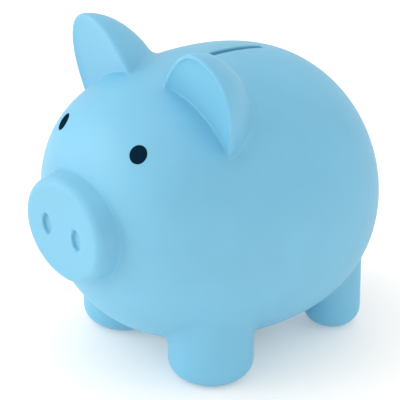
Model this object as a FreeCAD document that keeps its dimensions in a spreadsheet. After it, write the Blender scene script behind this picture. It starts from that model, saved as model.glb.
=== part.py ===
import FreeCAD, Part
import math
import os
import re

# A soft vinyl piggy bank that stands on four feet.
#
# Millimetres, +Z up. The pig looks along -Y and its left side is +X. The origin is under
# the middle of the pig, on the surface that it stands on.
#
# The body is one hollow moulding: an egg about a fore-and-aft axis, in one piece with the
# snout, the legs, the ears and the tail, with a coin slot along its back. A soft stopper
# closes the port in its belly, and the eyes are printed on.

Vector = FreeCAD.Vector

# --- driving dimensions, one spreadsheet row each ---------------------------------------

DIMENSIONS = [
    # the egg
    ("EggRadius", 70.0, "largest radius of the body"),
    ("EggHalfLength", 80.5, "half the length of the body, without snout and tail"),
    ("EggFullness", 2.38, "exponent of the egg's outline, where 2 is an ellipse"),
    ("EggHeight", 75.0, "height of the middle of the egg"),
    ("EggPitch", 2.7, "how far the egg's front end is tipped up, degrees"),
    ("Wall", 3.0, "wall of the moulding"),
    # the snout
    ("SnoutReach", 87.4, "distance of the snout's face ahead of the origin"),
    ("SnoutHalfWidth", 30.0, "half width of the snout's face"),
    ("SnoutHalfHeight", 25.0, "half height of the snout's face"),
    ("SnoutGrowth", 1.06, "size of the snout's rear end over that of its face"),
    ("SnoutHeight", 79.0, "height of the middle of the snout"),
    ("SnoutDepth", 32.0, "length of the snout, counting what is inside the head"),
    ("SnoutRound", 5.0, "radius of the edge of the snout's face"),
    ("NostrilSpread", 11.5, "distance of a nostril from the middle"),
    ("NostrilHalfWidth", 3.4, "half width of a nostril"),
    ("NostrilHalfHeight", 4.7, "half height of a nostril"),
    ("NostrilDepth", 2.0, "depth of a nostril"),
    # the legs
    ("FrontLegSpread", 34.0, "distance of a front leg's axis from the middle"),
    ("FrontLegReach", 27.0, "distance of the front legs ahead of the origin"),
    ("FrontLegRadius", 20.3, "radius of a front leg"),
    ("RearLegSpread", 28.5, "distance of a rear leg's axis from the middle"),
    ("RearLegReach", 53.0, "distance of the rear legs behind the origin"),
    ("RearLegRadius", 14.0, "radius of a rear leg"),
    ("LegHeight", 54.0, "height where a leg ends, inside the egg"),
    ("FootRound", 9.0, "radius of a foot's lower edge"),
    # the ears
    ("EarHalfWidth", 25.0, "half width of the pod that an ear is cut from"),
    ("EarDepth", 29.0, "depth of that pod behind the ear's face"),
    ("EarHalfHeight", 44.0, "half height of that pod"),
    ("EarHollow", 5.0, "depth of the hollow in the ear's face"),
    ("EarRim", 2.5, "width of the rim around the hollow"),
    ("EarSpread", 30.0, "distance of the pod's centre from the middle"),
    ("EarReach", 36.5, "distance of the pod's centre ahead of the origin"),
    ("EarHeight", 121.5, "height of the pod's centre"),
    ("EarTurn", 6.5, "turn of the ear's face outwards, degrees"),
    ("EarLean", 29.0, "lean of the ear's tip outwards, degrees"),
    ("EarNod", 9.0, "nod of the ear's tip forwards, degrees"),
    # the coin slot
    ("SlotLength", 30.0, "length of the coin slot"),
    ("SlotWidth", 5.0, "width of the coin slot"),
    ("SlotReach", 15.0, "distance of the slot's middle behind the origin"),
    # the tail
    ("TailLoop", 6.5, "radius of the tail's curl"),
    ("TailRadius", 3.2, "radius of the tail itself"),
    ("TailTilt", 35.0, "tilt of the curl out of the rump, degrees"),
    ("TailCurl", 60.0, "how far the tail's tip curls under, degrees"),
    ("TailHeight", 84.0, "height of the middle of the curl"),
    # the eyes
    ("EyeRadius", 4.5, "radius of a printed eye"),
    ("EyeSpread", 27.7, "distance of an eye from the middle"),
    ("EyeHeight", 119.0, "height of the eyes"),
    ("InkThickness", 0.2, "thickness of the printed ink"),
    # the belly port and its stopper
    ("PortRadius", 17.0, "radius of the hole in the belly"),
    ("PortReach", 4.0, "distance of the port behind the origin"),
    ("LandRadius", 22.0, "radius of the flat recess around the port"),
    ("LandHeight", 11.0, "height of that flat above the ground"),
    ("FlangeRadius", 20.5, "radius of the stopper's flange"),
    ("FlangeThickness", 2.4, "thickness of the stopper's flange"),
    ("PlugClearance", 0.05, "gap between the stopper and the wall of the port"),
    ("PlugLength", 9.0, "height of the stopper above its flange"),
    ("DishRadius", 13.0, "radius of the finger dish under the stopper"),
    ("DishDepth", 8.0, "depth of the finger dish"),
    ("PullThickness", 4.0, "thickness of the grip across the finger dish"),
]

doc = FreeCAD.newDocument("PiggyBank")
sheet = doc.addObject("Spreadsheet::Sheet", "Dimensions")
for row, (alias, value, meaning) in enumerate(DIMENSIONS, start=1):
    sheet.set(f"A{row}", meaning)
    sheet.set(f"B{row}", str(value))
    sheet.setAlias(f"B{row}", alias)
doc.recompute()


# --- helpers ----------------------------------------------------------------------------

def cells(formula):
    """Writes a formula's capitalised names as cells of the sheet."""
    return re.sub(r"\b([A-Z]\w+)", r"Dimensions.\1", formula)


def add(kind, name, at=("0", "0", "0"), turn="create(<<rotation>>; 0; 0; 0)", **sizes):
    """Adds a Part object whose sizes and place are formulas of the sheet's cells."""
    item = doc.addObject(f"Part::{kind}", name)
    for size, formula in sizes.items():
        item.setExpression(size, cells(formula))
    base = f"create(<<vector>>; {at[0]}; {at[1]}; {at[2]})"
    item.setExpression("Placement", cells(f"create(<<placement>>; {base}; {turn})"))
    return item


def about(x, y, z, angle):
    """A rotation by an angle about an axis, as the text of an expression."""
    return f"create(<<rotation>>; create(<<vector>>; {x}; {y}; {z}); {angle})"


def join(name, items):
    """Fuses several items into one."""
    fused = doc.addObject("Part::MultiFuse", name)
    fused.Shapes = items
    return fused


def cut(name, base, tool):
    """Takes one item away from another."""
    rest = doc.addObject("Part::Cut", name)
    rest.Base = base
    rest.Tool = tool
    return rest


def common(name, first, second):
    """Keeps what two items share."""
    shared = doc.addObject("Part::Common", name)
    shared.Base = first
    shared.Tool = second
    return shared


def extrude(name, outline, length):
    """Extrudes a closed outline along its own normal into a solid."""
    solid = doc.addObject("Part::Extrusion", name)
    solid.Base = outline
    solid.DirMode = "Normal"
    solid.Solid = True
    solid.setExpression("LengthFwd", cells(length))
    return solid


def round_edges(name, base, radius, wanted):
    """Rounds those edges of an item that the test called wanted picks."""
    doc.recompute()
    rounded = doc.addObject("Part::Fillet", name)
    rounded.Base = base
    picked = [i for i, edge in enumerate(base.Shape.Edges, start=1) if wanted(edge)]
    rounded.Edges = [(i, radius, radius) for i in picked]
    return rounded


def mirror(name, source):
    """Repeats an item on the pig's other side."""
    twin = doc.addObject("Part::Mirroring", name)
    twin.Source = source
    twin.Normal = Vector(1, 0, 0)
    return twin


# --- the egg ----------------------------------------------------------------------------

def egg_point(margin, angle):
    """A point of the egg's left outline; the angle runs from the front end to the rear end."""
    power = 2 / sheet.EggFullness
    along = abs(math.cos(angle)) ** power
    out = abs(math.sin(angle)) ** power
    side = -1 if angle < math.pi / 2 else 1
    return Vector((sheet.EggRadius + margin) * out, side * (sheet.EggHalfLength + margin) * along, 0)


def egg(name, margin):
    """The egg, grown by a margin: a solid of revolution in an upper and a lower half."""
    steps = 20
    crowded = [math.pi / 2 * (1 - math.cos(math.pi * i / steps)) for i in range(steps + 1)]
    points = [egg_point(margin, angle) for angle in crowded]
    outline = Part.BSplineCurve()
    outline.interpolate(Points=points, InitialTangent=Vector(1, 0, 0), FinalTangent=Vector(-1, 0, 0))
    axis = Part.LineSegment(points[-1], points[0])
    face = Part.Face(Part.Wire([outline.toShape(), axis.toShape()]))
    item = doc.addObject("Part::Feature", name)
    half = face.revolve(Vector(0, 0, 0), Vector(0, 1, 0), 180)
    item.Shape = half.fuse(half.mirror(Vector(0, 0, 0), Vector(0, 0, 1)))
    pitch = FreeCAD.Rotation(Vector(1, 0, 0), -sheet.EggPitch)
    item.Placement = FreeCAD.Placement(Vector(0, 0, sheet.EggHeight), pitch)
    return item


def egg_surface(x, z):
    """The place and the outward direction of the egg's front skin at a given x and z."""
    up = z - sheet.EggHeight
    radius = math.hypot(x, up)
    fullness = sheet.EggFullness
    reach = (1 - (radius / sheet.EggRadius) ** fullness) ** (1 / fullness) * sheet.EggHalfLength
    slope_out = radius ** (fullness - 1) / sheet.EggRadius ** fullness
    slope_along = reach ** (fullness - 1) / sheet.EggHalfLength ** fullness
    direction = Vector(slope_out * x / radius, -slope_along, slope_out * up / radius)
    return Vector(x, -reach, z), direction.normalize()


# --- the parts of the moulding ----------------------------------------------------------

def snout():
    """A short flared oval drum with a soft front edge."""
    upright = about(1, 0, 0, 90)
    face = add("Ellipse", "SnoutFace", ("0", "-SnoutReach", "SnoutHeight"), upright,
               MajorRadius="SnoutHalfWidth", MinorRadius="SnoutHalfHeight")
    root = add("Ellipse", "SnoutRoot", ("0", "SnoutDepth - SnoutReach", "SnoutHeight"), upright,
               MajorRadius="SnoutHalfWidth * SnoutGrowth",
               MinorRadius="SnoutHalfHeight * SnoutGrowth")
    drum = doc.addObject("Part::Loft", "SnoutDrum")
    drum.Sections = [face, root]
    drum.Solid = True
    drum.Ruled = True
    front = -sheet.SnoutReach
    return round_edges("Snout", drum, sheet.SnoutRound,
                       lambda edge: abs(edge.BoundBox.YMax - front) < 0.01)


def nostril(side):
    """The oval pit of one nostril, as the tool that cuts it."""
    name = "NostrilLeft" if side > 0 else "NostrilRight"
    outline = add("Ellipse", name + "Outline",
                  (f"{side} * NostrilSpread", "NostrilDepth - SnoutReach", "SnoutHeight"),
                  about(1, 1, 1, 240),
                  MajorRadius="NostrilHalfHeight", MinorRadius="NostrilHalfWidth")
    return extrude(name, outline, "-2 * NostrilDepth")


def leg(name, x, y, margin, bottom):
    """A round leg with a rounded foot."""
    pair = "RearLeg" if y > 0 else "FrontLeg"
    post = add("Cylinder", name + "Post", (f"{x} * {pair}Spread", f"{y} * {pair}Reach", bottom),
               Radius=f"{pair}Radius - {margin}", Height=f"LegHeight - {bottom}")
    doc.recompute()
    low = post.Shape.BoundBox.ZMin
    radius = sheet.FootRound - (sheet.Wall if margin == "Wall" else 0)
    return round_edges(name, post, radius, lambda edge: abs(edge.BoundBox.ZMax - low) < 0.01)


def ear_pod(name, margin, face):
    """The rear half of an ellipsoid, shrunk by a margin, whose flat face is set back."""
    turn = "create(<<rotation>>; EarTurn; EarLean; EarNod)"
    centre = "create(<<vector>>; EarSpread; -EarReach; EarHeight)"
    pod = add("Ellipsoid", name + "Pod", Radius1=f"EarHalfHeight - {margin}",
              Radius2=f"EarHalfWidth - {margin}", Radius3=f"EarDepth - {margin}")
    front = add("Box", name + "Front", Length="4 * EarHalfWidth", Width="2 * EarDepth",
                Height="4 * EarHalfHeight")
    corner = f"create(<<vector>>; -2 * EarHalfWidth; {face} - 2 * EarDepth; -2 * EarHalfHeight)"
    place = f"create(<<placement>>; {centre}; {turn})"
    shift = f"create(<<placement>>; {corner}; create(<<rotation>>; 0; 0; 0))"
    pod.setExpression("Placement", cells(place))
    front.setExpression("Placement", cells(f"{place} * {shift}"))
    return cut(name, pod, front), place


def ear():
    """The left ear, with a shallow hollow in its face."""
    solid, place = ear_pod("EarForm", "0", "0")
    hollow = add("Ellipsoid", "EarFaceHollow", Radius1="EarHalfHeight - EarRim",
                 Radius2="EarHalfWidth - EarRim", Radius3="EarHollow")
    hollow.setExpression("Placement", cells(place))
    return cut("EarLeft", solid, hollow)


def tail():
    """A small curl that grows out of the rump and ends in a round tip."""
    centre = "create(<<vector>>; 0; SnoutReach - TailLoop * sin(TailTilt) - TailRadius; TailHeight)"
    tilt = "create(<<rotation>>; TailTilt; 0; 90)"
    curl = "create(<<placement>>; create(<<vector>>; 0; 0; 0); create(<<rotation>>; -TailCurl; 0; 0))"
    end = "create(<<placement>>; create(<<vector>>; TailLoop; 0; 0); create(<<rotation>>; 0; 0; 0))"
    place = f"create(<<placement>>; {centre}; {tilt}) * {curl}"
    ring = add("Torus", "TailRing", Radius1="TailLoop", Radius2="TailRadius")
    ring.Angle3 = 240
    ring.setExpression("Placement", cells(place))
    tip = add("Sphere", "TailTip", Radius="TailRadius")
    tip.setExpression("Placement", cells(f"{place} * {end}"))
    return join("Tail", [ring, tip])


def moulding():
    """The whole body: everything fused, then hollowed, then cut for slot and port."""
    corners = [(1, -1), (-1, -1), (1, 1), (-1, 1)]
    legs = [leg(f"Leg{i}", x, y, "0", "0") for i, (x, y) in enumerate(corners)]
    hollows = [leg(f"LegHollow{i}", x, y, "Wall", "Wall") for i, (x, y) in enumerate(corners)]
    left_ear = ear()
    outside = join("Outside", [egg("Egg", 0), snout(), tail(), left_ear,
                               mirror("EarRight", left_ear)] + legs)
    port_at = ("0", "PortReach", "0")
    recess = add("Cylinder", "Recess", port_at, Radius="LandRadius", Height="LandHeight")
    floor = add("Cylinder", "PortFloor", port_at, Radius="LandRadius + Wall",
                Height="LandHeight + Wall")
    ear_hollow, _ = ear_pod("EarHollowLeft", "Wall", "EarHollow + Wall")
    hollows += [egg("EggHollow", -sheet.Wall), ear_hollow, mirror("EarHollowRight", ear_hollow)]
    inside = cut("Inside", join("Hollows", hollows), floor)
    shell = cut("Shell", cut("Recessed", outside, recess), inside)
    slot = add("Box", "Slot", ("-SlotWidth / 2", "SlotReach - SlotLength / 2", "EggHeight + EggRadius / 2"),
               Length="SlotWidth", Width="SlotLength", Height="EggRadius")
    port = add("Cylinder", "Port", port_at, Radius="PortRadius", Height="2 * LandHeight")
    tools = join("Openings", [slot, port, nostril(1), nostril(-1)])
    body = cut("BodyShell", shell, tools)
    body.Label = "body_shell"
    return body


# --- the printed eyes -------------------------------------------------------------------

def eye(skin, name, side):
    """A round patch of ink on the egg's skin."""
    place, direction = egg_surface(side * sheet.EyeSpread, sheet.EyeHeight)
    disc = add("Cylinder", name + "_disc", Radius="EyeRadius", Height="4 * EyeRadius")
    disc.setExpression("Placement", None)
    start = place - direction * (2 * sheet.EyeRadius)
    disc.Placement = FreeCAD.Placement(start, FreeCAD.Rotation(Vector(0, 0, 1), direction))
    patch = common(name, skin, disc)
    patch.Label = name
    return patch


# --- the belly stopper ------------------------------------------------------------------

def stopper():
    """A soft cup that fills the port, with a grip across the dish in its underside."""
    at_flange = ("0", "PortReach", "LandHeight - FlangeThickness")
    flange = add("Cylinder", "Flange", at_flange, Radius="FlangeRadius", Height="FlangeThickness")
    plug = add("Cylinder", "Plug", at_flange, Radius="PortRadius - PlugClearance",
               Height="FlangeThickness + PlugLength")
    dish = add("Cylinder", "Dish", at_flange, Radius="DishRadius", Height="DishDepth")
    grip = add("Box", "Grip",
               ("-PullThickness / 2", "PortReach - DishRadius", "LandHeight - FlangeThickness"),
               Length="PullThickness", Width="2 * DishRadius", Height="DishDepth")
    cup = cut("Cup", join("FlangedPlug", [flange, plug]), cut("FingerDish", dish, grip))
    cup.Label = "belly_stopper"
    return cup


body = moulding()
ink = cut("InkSkin", egg("InkEgg", sheet.InkThickness), egg("EggUnderInk", 0))
nodes = [body, eye(ink, "eye_left", 1), eye(ink, "eye_right", -1), stopper()]
doc.recompute()

for item in doc.Objects:
    if "Invalid" in item.State or "Error" in item.State:
        raise RuntimeError(f"{item.Label} failed: {item.State}")
os.makedirs("parts", exist_ok=True)
for node in nodes:
    if node.Shape.isNull() or not node.Shape.isValid() or not node.Shape.Solids:
        raise RuntimeError(f"{node.Label} has no valid solid")
for node in nodes:
    node.Shape.exportStep(f"parts/{node.Label}.step")
    box = node.Shape.BoundBox
    print(node.Label, len(node.Shape.Solids), "solid", round(node.Shape.Volume), "mm3",
          [round(v, 2) for v in (box.XMin, box.YMin, box.ZMin, box.XMax, box.YMax, box.ZMax)])
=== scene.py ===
import math

import bpy
import numpy as np
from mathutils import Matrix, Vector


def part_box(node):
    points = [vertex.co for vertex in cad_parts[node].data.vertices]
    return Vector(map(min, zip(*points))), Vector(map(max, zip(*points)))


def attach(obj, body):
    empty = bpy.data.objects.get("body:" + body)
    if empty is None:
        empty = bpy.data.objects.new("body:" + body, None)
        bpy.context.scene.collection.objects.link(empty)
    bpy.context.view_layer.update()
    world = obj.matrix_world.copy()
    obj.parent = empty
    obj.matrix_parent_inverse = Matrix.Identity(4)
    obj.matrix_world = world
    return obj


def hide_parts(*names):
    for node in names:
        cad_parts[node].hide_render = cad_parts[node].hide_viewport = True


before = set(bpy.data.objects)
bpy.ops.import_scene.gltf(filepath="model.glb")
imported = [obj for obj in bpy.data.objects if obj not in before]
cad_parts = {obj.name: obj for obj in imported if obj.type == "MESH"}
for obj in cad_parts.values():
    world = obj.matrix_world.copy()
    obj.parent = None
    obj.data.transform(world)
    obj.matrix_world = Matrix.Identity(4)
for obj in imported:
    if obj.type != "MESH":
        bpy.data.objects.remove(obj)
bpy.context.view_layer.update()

import openvdb
from mathutils import Euler, Vector

# The looks of a hollow vinyl piggy bank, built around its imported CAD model.
#
# Metres, in the frame of the CAD model: +Z up, the pig looks along -Y, its left side is +X.
# Each piece is the zero surface of a distance field, which is negative inside the material.
# A field takes points as an array of x, y and z rows and gives one distance for each point.

MM = 0.001

shell_low, shell_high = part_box("body_shell")
stopper_low, stopper_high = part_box("belly_stopper")
eye_low, eye_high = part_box("eye_left")

# --- sizes ------------------------------------------------------------------------------

EGG_RADIUS = (shell_high.x - shell_low.x) / 2
EGG_HALF_LENGTH = 1.15 * EGG_RADIUS
EGG_HEIGHT = 1.07 * EGG_RADIUS
WALL = 3 * MM

SNOUT_REACH = -shell_low.y
SNOUT_HALF_WIDTH = 0.421 * EGG_RADIUS
SNOUT_HALF_HEIGHT = 0.346 * EGG_RADIUS
SNOUT_HEIGHT = 1.119 * EGG_RADIUS
SNOUT_ROUND = 3.4 * MM
NOSTRIL_SPREAD = 11.5 * MM
NOSTRIL_HEIGHT = 78.4 * MM
NOSTRIL_HALF_WIDTH = 3.2 * MM
NOSTRIL_HALF_HEIGHT = 4.7 * MM
NOSTRIL_DEPTH = 1.8 * MM

# The two ears of the moulding aren't quite alike. Sizes are those of an ear's face.
EAR_TURN = Euler((math.radians(9), math.radians(28.9), math.radians(6.8)), "XYZ")
EAR_FACE = 3.3 * MM
EAR_DEPTH = 31 * MM
EARS = {
    1: {"centre": (29.5 * MM, -37.2 * MM, 124.1 * MM), "apex": -2.5 * MM, "power": 2.8,
        "height": 39.9 * MM, "inner": 22.9 * MM, "outer": 26.6 * MM},
    -1: {"centre": (31.1 * MM, -39.8 * MM, 122.6 * MM), "apex": 0.6 * MM, "power": 2,
         "height": 41.4 * MM, "inner": 26.9 * MM, "outer": 24 * MM},
}

# Each leg's x, y and radius in millimetres; the front pair isn't quite even either.
LEGS = [(34, -27, 20.3), (-36, -26, 20.3), (28.5, 53, 14), (-28.5, 53, 14)]

LEG_HEIGHT = 54 * MM
FOOT_ROUND = 9 * MM

EYE_CENTRE = (eye_low + eye_high) / 2
EYE_HALF_WIDTH = 4.15 * MM
EYE_HALF_HEIGHT = 4.4 * MM
INK_LIFT = 0.15 * MM
INK_ROOT = 0.3 * MM

SLOT_HALF_WIDTH = 1.9 * MM
SLOT_HALF_LENGTH = 15 * MM
SLOT_HALF_DEPTH = 16 * MM

STOPPER_CENTRE = (stopper_low + stopper_high) / 2
FLANGE_RADIUS = (stopper_high.x - stopper_low.x) / 2
FLANGE_BOTTOM = stopper_low.z
FLANGE_TOP = FLANGE_BOTTOM + 2.4 * MM
PLUG_RADIUS = 16.9 * MM
RECESS_RADIUS = 22 * MM
DISH_RADIUS = 13 * MM
DISH_DEPTH = 8 * MM


# --- distance fields --------------------------------------------------------------------

def union(first, second, fillet):
    """Two fields as one, with a fillet of that radius where they meet."""
    inner = np.hypot(np.maximum(fillet - first, 0), np.maximum(fillet - second, 0))
    return np.maximum(fillet, np.minimum(first, second)) - inner


def overlap(first, second, rounding):
    """What two fields share, with its edge rounded to that radius."""
    return -union(-first, -second, rounding)


def carve(field, tool, rounding):
    """A field with another taken away from it, with the edge rounded to that radius."""
    return overlap(field, -tool, rounding)


def distance(norm, p):
    """The distance from the surface where a norm is 1, from its value and its slope."""
    step = 0.1 * MM
    slope = 0
    for axis in range(3):
        ahead = p.copy()
        ahead[axis] += step
        behind = p.copy()
        behind[axis] -= step
        slope = slope + ((norm(ahead) - norm(behind)) / (2 * step)) ** 2
    return (norm(p) - 1) / np.sqrt(np.maximum(slope, 1))


def local(p, centre, turn):
    """The points as seen from a centre with a rotation of its own."""
    matrix = np.array(turn.to_matrix(), p.dtype)
    offset = np.array(centre, p.dtype).reshape((3,) + (1,) * (p.ndim - 1))
    return np.tensordot(matrix.T, p - offset, axes=1)


def oval(x, y, half_x, half_y):
    """The distance in a plane from an ellipse, near enough for a fillet."""
    out = np.hypot(x / half_x, y / half_y)
    slope = np.hypot(x / half_x ** 2, y / half_y ** 2)
    return out * (out - 1) / np.maximum(slope, 1)


# --- the pig's body ---------------------------------------------------------------------

def egg_norm(p):
    """1 on the skin of the egg, which is fullest a little behind its middle."""
    along = p[1] / EGG_HALF_LENGTH
    swell = np.exp(0.039 * along + 0.221 * along ** 2 - 0.087 * along ** 3)
    middle = EGG_HEIGHT - 0.047 * p[1] + 0.26 * p[1] ** 2
    out = np.hypot(p[0], p[2] - middle) / (EGG_RADIUS * swell)
    return np.hypot(out, along)


def egg(p):
    """The egg of the body and head."""
    return distance(egg_norm, p)


def snout(p):
    """A short drum that droops and flares a little, with a soft front edge."""
    back = p[1] + SNOUT_REACH
    section = oval(p[0], p[2] - SNOUT_HEIGHT - 0.1 * back,
                   SNOUT_HALF_WIDTH + 0.08 * back, SNOUT_HALF_HEIGHT + 0.14 * back)
    drum = overlap(section, -back, SNOUT_ROUND)
    return overlap(drum, back - 32 * MM, SNOUT_ROUND)


def nostrils(p):
    """Two upright oval pits with flat floors."""
    side = np.abs(p[0]) - NOSTRIL_SPREAD
    pit = oval(side, p[2] - NOSTRIL_HEIGHT, NOSTRIL_HALF_WIDTH, NOSTRIL_HALF_HEIGHT)
    return overlap(pit, p[1] + SNOUT_REACH - NOSTRIL_DEPTH, 0.6 * MM)


def half_oval(x, half_width, z, half_height, power):
    """1 on one half of an oval that is squarer for a higher power."""
    across = np.maximum(x / half_width, 0)
    up = np.abs(z / half_height)
    return (across ** power + up ** power) ** (1 / power)


def ear_norm(p, shape, margin):
    """1 on the outline of an ear's face, where x runs from its inner to its outer side."""
    high = shape["height"] - margin
    inner = half_oval(-p[0], shape["inner"] - margin, p[2], high, shape["power"])
    outer = half_oval(p[0], shape["outer"] - margin, p[2], high, 2)
    return np.where(p[0] < 0, inner, outer)


def ear(p, side):
    """An upright ear with a dished face and a rounded back, and its fillet to the head."""
    shape = EARS[side]
    at = p.copy()
    at[0] = side * at[0]
    at = local(at, shape["centre"], EAR_TURN)
    at[0] = at[0] - shape["apex"]
    pod = distance(lambda q: np.hypot(ear_norm(q, shape, 0), q[1] / EAR_DEPTH), at)
    plate = overlap(pod, EAR_FACE - at[1], 2.2 * MM)
    dish = distance(
        lambda q: np.hypot(ear_norm(q, shape, 3.6 * MM), (q[1] - EAR_FACE) / (3.2 * MM)), at)
    behind = np.clip((at[1] - EAR_FACE) / (14 * MM), 0, 1)
    return carve(plate, dish, 2.5 * MM), (0.3 + 3.5 * behind) * MM


def leg(p, x, y, radius):
    """A stub leg, whose foot has a soft lower edge."""
    from_axis = np.hypot(p[0] - x, p[1] - y)
    half = LEG_HEIGHT / 2
    return overlap(from_axis - radius, np.abs(p[2] - half) - half, FOOT_ROUND)


TAIL_LOOP = 6.5 * MM
TAIL_RADIUS = 3.2 * MM
TAIL_TURN = Euler((math.radians(90), 0, math.radians(35)), "XYZ")


def tail(p):
    """A small curl on the rump, which thins towards its round tip."""
    reach = shell_high.y - TAIL_LOOP * math.sin(TAIL_TURN.z) - TAIL_RADIUS
    at = local(p, (0, reach, 84 * MM), TAIL_TURN)
    angle = np.arctan2(at[1], at[0])
    angle = np.where(angle < -2 * math.pi / 3, angle + 2 * math.pi, angle)
    held = np.clip(angle, -math.pi / 3, math.pi)
    gap = np.sqrt((at[0] - TAIL_LOOP * np.cos(held)) ** 2
                  + (at[1] - TAIL_LOOP * np.sin(held)) ** 2 + at[2] ** 2)
    return gap - TAIL_RADIUS * (0.85 + 0.06 * held)


def outside(p):
    """The outer skin of the moulding, before anything is cut through it."""
    body = union(egg(p), snout(p), 0.8 * MM)
    for x, y, radius in LEGS:
        body = union(body, leg(p, x * MM, y * MM, radius * MM), 3 * MM)
    for side in EARS:
        body = union(body, *ear(p, side))
    body = union(body, tail(p), 1.5 * MM)
    body = carve(body, nostrils(p), 0.6 * MM)
    from_port = np.hypot(p[0], p[1] - STOPPER_CENTRE.y)
    recess = np.maximum(from_port - RECESS_RADIUS, p[2] - FLANGE_TOP - 0.1 * MM)
    return carve(body, recess, 1.5 * MM)


def block(p, centre, half_size, rounding):
    """A box with its edges rounded."""
    gaps = [np.abs(p[i] - centre[i]) - half_size[i] + rounding for i in range(3)]
    outer = np.sqrt(sum(np.maximum(gap, 0) ** 2 for gap in gaps))
    return outer + np.minimum(np.maximum.reduce(gaps), 0) - rounding


def moulding(p):
    """The hollow body, open at the coin slot and at the port in the belly."""
    skin = outside(p)
    slot_centre = (0, SLOT_HALF_LENGTH, shell_high.z - SLOT_HALF_DEPTH)
    slot_half = (SLOT_HALF_WIDTH, SLOT_HALF_LENGTH, SLOT_HALF_DEPTH)
    slot = block(p, slot_centre, slot_half, 0.4 * MM)
    lip = 2.5 * MM * np.exp(-(np.maximum(slot, 0) / (5 * MM)) ** 2)
    wall = np.maximum(skin, -WALL - lip - skin)
    wall = carve(wall, slot, 0.6 * MM)
    from_port = np.hypot(p[0], p[1] - STOPPER_CENTRE.y)
    port = np.maximum(from_port - PLUG_RADIUS - 0.1 * MM, np.abs(p[2] - 12 * MM) - 12 * MM)
    return carve(wall, port, 0.5 * MM)


# --- the belly stopper ------------------------------------------------------------------

def stopper(p):
    """A soft cup with a flange, and a grip across the finger dish in its underside."""
    from_axis = np.hypot(p[0] - STOPPER_CENTRE.x, p[1] - STOPPER_CENTRE.y)
    up = p[2] - FLANGE_BOTTOM
    flange = overlap(from_axis - FLANGE_RADIUS,
                     np.abs(up - 1.2 * MM) - 1.2 * MM, 0.9 * MM)
    height = stopper_high.z - FLANGE_BOTTOM
    plug = overlap(from_axis - PLUG_RADIUS,
                   np.abs(up - height / 2) - height / 2, 1.2 * MM)
    dish = overlap(from_axis - DISH_RADIUS, up - DISH_DEPTH, 3 * MM)
    ends = np.maximum(-up + 0.6 * MM, from_axis - 14 * MM)
    grip = overlap(np.abs(p[0]) - 2 * MM, ends, 1.2 * MM)
    cup = carve(union(flange, plug, 0.6 * MM), dish, 1 * MM)
    return union(cup, overlap(grip, up - 10 * MM, 1 * MM), 1 * MM)


# --- meshes -----------------------------------------------------------------------------

def slope_of(field, points):
    """The gradient of a field at some points."""
    step = 0.05 * MM
    rows = []
    for axis in range(3):
        shift = np.zeros((3, 1))
        shift[axis] = step
        rows.append((field(points + shift) - field(points - shift)) / (2 * step))
    return np.array(rows)


def build(name, points, faces, normals, material):
    """A mesh object from its corners, faces and smooth normals."""
    mesh = bpy.data.meshes.new(name)
    mesh.from_pydata(points, [], faces)
    mesh.update()
    mesh.normals_split_custom_set_from_vertices(normals)
    mesh.materials.append(material)
    piece = bpy.data.objects.new(name, mesh)
    bpy.context.scene.collection.objects.link(piece)
    return piece


def skin(name, field, low, high, pitch, adaptivity, material):
    """The surface of a field as a mesh, finer where it bends more."""
    counts = [math.ceil((high[i] - low[i]) / pitch) + 1 for i in range(3)]
    axes = [low[i] + pitch * np.arange(counts[i]) for i in range(3)]
    values = np.concatenate([
        field(np.array(np.meshgrid(part, axes[1], axes[2], indexing="ij"), np.float32))
        for part in np.array_split(axes[0], 8)])
    band = 3 * pitch
    volume = openvdb.FloatGrid(band)
    volume.copyFromArray(np.clip(values, -band, band).astype(np.float32))
    points, triangles, quads = volume.convertToPolygons(0, adaptivity)
    points = (np.array(low).reshape(3, 1) + pitch * points.T).astype(np.float64)
    for _ in range(4):
        slope = slope_of(field, points)
        length = np.maximum((slope ** 2).sum(0), 0.25)
        points -= np.clip(field(points) / length, -pitch / 2, pitch / 2) * slope
    normals = slope_of(field, points)
    normals /= np.linalg.norm(normals, axis=0)
    faces = triangles.tolist() + quads.tolist()
    print(name, len(triangles), "triangles", len(quads), "quads")
    return build(name, points.T.tolist(), faces, normals.T.tolist(), material)


# --- materials --------------------------------------------------------------------------

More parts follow.
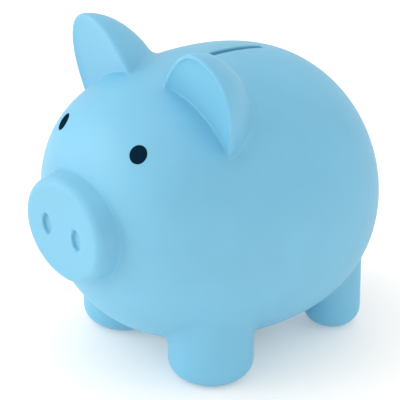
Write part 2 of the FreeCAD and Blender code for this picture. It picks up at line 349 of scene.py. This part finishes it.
def vinyl(name, colour, roughness):
    """Soft moulded vinyl: a faint mottle in its colour, and a fine satin grain."""
    material = bpy.data.materials.new(name)
    material.use_nodes = True
    nodes = material.node_tree.nodes
    links = material.node_tree.links
    shader = nodes["Principled BSDF"]
    shader.inputs["Subsurface Weight"].default_value = 0.15
    shader.inputs["Subsurface Radius"].default_value = (1.0, 1.2, 1.6)
    shader.inputs["Subsurface Scale"].default_value = 4 * MM
    shader.inputs["Specular IOR Level"].default_value = 0.8
    place = nodes.new("ShaderNodeTexCoord")

    mottle = nodes.new("ShaderNodeTexNoise")
    mottle.inputs["Scale"].default_value = 35
    mottle.inputs["Detail"].default_value = 4
    links.new(place.outputs["Object"], mottle.inputs["Vector"])
    tint = nodes.new("ShaderNodeValToRGB")
    tint.color_ramp.elements[0].position = 0.3
    tint.color_ramp.elements[0].color = (*[0.97 * c for c in colour], 1)
    tint.color_ramp.elements[1].position = 0.7
    tint.color_ramp.elements[1].color = (*[1.03 * c for c in colour], 1)
    links.new(mottle.outputs["Fac"], tint.inputs["Fac"])
    links.new(tint.outputs["Color"], shader.inputs["Base Color"])

    grain = nodes.new("ShaderNodeTexNoise")
    grain.inputs["Scale"].default_value = 1800
    grain.inputs["Detail"].default_value = 3
    links.new(place.outputs["Object"], grain.inputs["Vector"])
    sheen = nodes.new("ShaderNodeMapRange")
    sheen.inputs["To Min"].default_value = roughness - 0.05
    sheen.inputs["To Max"].default_value = roughness + 0.05
    links.new(grain.outputs["Fac"], sheen.inputs["Value"])
    links.new(sheen.outputs["Result"], shader.inputs["Roughness"])
    bump = nodes.new("ShaderNodeBump")
    bump.inputs["Strength"].default_value = 0.15
    bump.inputs["Distance"].default_value = 0.05 * MM
    links.new(grain.outputs["Fac"], bump.inputs["Height"])
    links.new(bump.outputs["Normal"], shader.inputs["Normal"])
    return material


def ink(name):
    """Printed ink: near black, a little uneven where it was laid down."""
    material = bpy.data.materials.new(name)
    material.use_nodes = True
    nodes = material.node_tree.nodes
    links = material.node_tree.links
    shader = nodes["Principled BSDF"]
    shader.inputs["Specular IOR Level"].default_value = 0.0
    place = nodes.new("ShaderNodeTexCoord")
    patches = nodes.new("ShaderNodeTexNoise")
    patches.inputs["Scale"].default_value = 900
    links.new(place.outputs["Object"], patches.inputs["Vector"])
    tint = nodes.new("ShaderNodeValToRGB")
    tint.color_ramp.elements[0].color = (0.002, 0.014, 0.028, 1)
    tint.color_ramp.elements[1].color = (0.004, 0.022, 0.042, 1)
    links.new(patches.outputs["Fac"], tint.inputs["Fac"])
    links.new(tint.outputs["Color"], shader.inputs["Base Color"])
    shader.inputs["Roughness"].default_value = 0.4
    bump = nodes.new("ShaderNodeBump")
    bump.inputs["Strength"].default_value = 0.2
    bump.inputs["Distance"].default_value = 0.02 * MM
    links.new(patches.outputs["Fac"], bump.inputs["Height"])
    links.new(bump.outputs["Normal"], shader.inputs["Normal"])
    return material


# --- the pieces -------------------------------------------------------------------------

def printed_eye(name, side, material):
    """A thin round patch of ink that follows the skin, with its own rounded edge."""
    height = EYE_CENTRE.z + side * MM
    centre = np.array([[side * EYE_CENTRE.x], [EYE_CENTRE.y], [height]])
    for _ in range(6):
        centre[1] -= outside(centre) / slope_of(outside, centre)[1]
    out = slope_of(outside, centre)
    out /= np.linalg.norm(out)
    up = np.array([[0.0], [0], [1]])
    up -= out * (up * out).sum()
    up /= np.linalg.norm(up)
    across = np.cross(up, out, axis=0)
    rings, spokes = 10, 64
    profile = [(i / rings, INK_LIFT) for i in range(1, rings)]
    profile += [(1.0, 0.11 * MM), (1.02, 0.0), (1.0, -INK_ROOT)]
    profile += [(i / rings, -INK_ROOT) for i in range(rings - 1, 0, -1)]
    angles = np.arange(spokes) * 2 * math.pi / spokes
    rim = across * np.cos(angles) * EYE_HALF_WIDTH + up * np.sin(angles) * EYE_HALF_HEIGHT
    rows = [centre + out * INK_LIFT]
    lifts = [INK_LIFT]
    for radius, lift in profile:
        rows.append(centre + radius * rim)
        lifts += [lift] * spokes
    rows.append(centre - out * INK_ROOT)
    lifts = np.array(lifts + [-INK_ROOT])
    points = np.concatenate(rows, axis=1)
    for _ in range(4):
        slope = slope_of(outside, points)
        points -= (outside(points) - lifts) * slope / (slope ** 2).sum(0)
    last = points.shape[1] - 1
    faces = [(0, 1 + i, 1 + (i + 1) % spokes) for i in range(spokes)]
    for ring in range(len(profile) - 1):
        start = 1 + ring * spokes
        for i in range(spokes):
            j = (i + 1) % spokes
            faces.append((start + i, start + spokes + i, start + spokes + j, start + j))
    start = 1 + (len(profile) - 1) * spokes
    faces += [(start + i, last, start + (i + 1) % spokes) for i in range(spokes)]
    mesh = bpy.data.meshes.new(name)
    mesh.from_pydata(points.T.tolist(), [], faces)
    mesh.shade_smooth()
    mesh.materials.append(material)
    piece = bpy.data.objects.new(name, mesh)
    bpy.context.scene.collection.objects.link(piece)
    return piece


blue = vinyl("blue_vinyl", (0.165, 0.5, 0.71), 0.5)
soft = vinyl("stopper_vinyl", (0.155, 0.475, 0.68), 0.42)
black = ink("eye_ink")

margin = Vector((1, 1, 1)) * 3 * MM
body = skin("pig_body", moulding, shell_low - margin, shell_high + margin, 1.0 * MM, 0.02, blue)
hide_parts("body_shell")
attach(body, "bank")

for name, side in (("eye_left", 1), ("eye_right", -1)):
    patch = printed_eye("pig_" + name, side, black)
    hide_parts(name)
    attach(patch, "bank")

plug = skin("pig_stopper", stopper, stopper_low - margin, stopper_high + margin,
            0.6 * MM, 0.01, soft)
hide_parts("belly_stopper")
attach(plug, "stopper")


# --- floor, light and camera ------------------------------------------------------------

def floor():
    """A plain pale sweep under the pig."""
    mesh = bpy.data.meshes.new("floor")
    half = 6
    corners = [(-half, -half, 0), (half, -half, 0), (half, half, 0), (-half, half, 0)]
    mesh.from_pydata(corners, [], [(0, 1, 2, 3)])
    material = bpy.data.materials.new("floor_paper")
    material.use_nodes = True
    shader = material.node_tree.nodes["Principled BSDF"]
    shader.inputs["Base Color"].default_value = (0.93, 0.885, 0.85, 1)
    shader.inputs["Roughness"].default_value = 0.9
    shader.inputs["Emission Color"].default_value = (1, 0.95, 0.91, 1)
    shader.inputs["Emission Strength"].default_value = 0.22
    mesh.materials.append(material)
    piece = bpy.data.objects.new("floor", mesh)
    bpy.context.scene.collection.objects.link(piece)


CAMERA_AZIMUTH = 52.06
CAMERA_ELEVATION = 24.725
CAMERA_DISTANCE = 1132 * MM
CAMERA_AIM = Vector((-8.95 * MM, 0, 66.55 * MM))


def direction(azimuth, elevation):
    """The unit vector from the pig towards a place at those angles, in degrees."""
    a = math.radians(azimuth)
    e = math.radians(elevation)
    return Vector((math.sin(a) * math.cos(e), -math.cos(a) * math.cos(e), math.sin(e)))


def softbox(name, azimuth, elevation, away, size, power):
    """A square soft light that faces the middle of the pig."""
    lamp = bpy.data.lights.new(name, "AREA")
    lamp.shape = "SQUARE"
    lamp.size = size
    lamp.energy = power
    item = bpy.data.objects.new(name, lamp)
    item.location = Vector((0, 0, EGG_HEIGHT)) + away * direction(azimuth, elevation)
    item.rotation_euler = direction(azimuth, elevation).to_track_quat("Z", "Y").to_euler()
    bpy.context.scene.collection.objects.link(item)


def surroundings(strength):
    """Even pale light from all round."""
    world = bpy.data.worlds.new("studio")
    world.use_nodes = True
    sky = world.node_tree.nodes["Background"]
    sky.inputs["Color"].default_value = (1, 1, 1, 1)
    sky.inputs["Strength"].default_value = strength
    bpy.context.scene.world = world


def camera():
    """A long lens that looks down at the pig from its front left."""
    lens = bpy.data.cameras.new("camera")
    lens.lens = 211.4
    lens.sensor_width = 36
    item = bpy.data.objects.new("camera", lens)
    back = direction(CAMERA_AZIMUTH, CAMERA_ELEVATION)
    item.location = CAMERA_AIM + CAMERA_DISTANCE * back
    item.rotation_mode = "QUATERNION"
    item.rotation_quaternion = (-back).to_track_quat("-Z", "Y")
    bpy.context.scene.collection.objects.link(item)
    bpy.context.scene.camera = item


floor()
surroundings(0.9)
softbox("front", -34, 18, 1.2, 0.9, 4.4)
softbox("side", -60, 45, 1.2, 0.7, 0.7)
softbox("top", 0, 80, 1.2, 0.7, 1.3)
camera()
bpy.context.scene.view_settings.view_transform = "Standard"
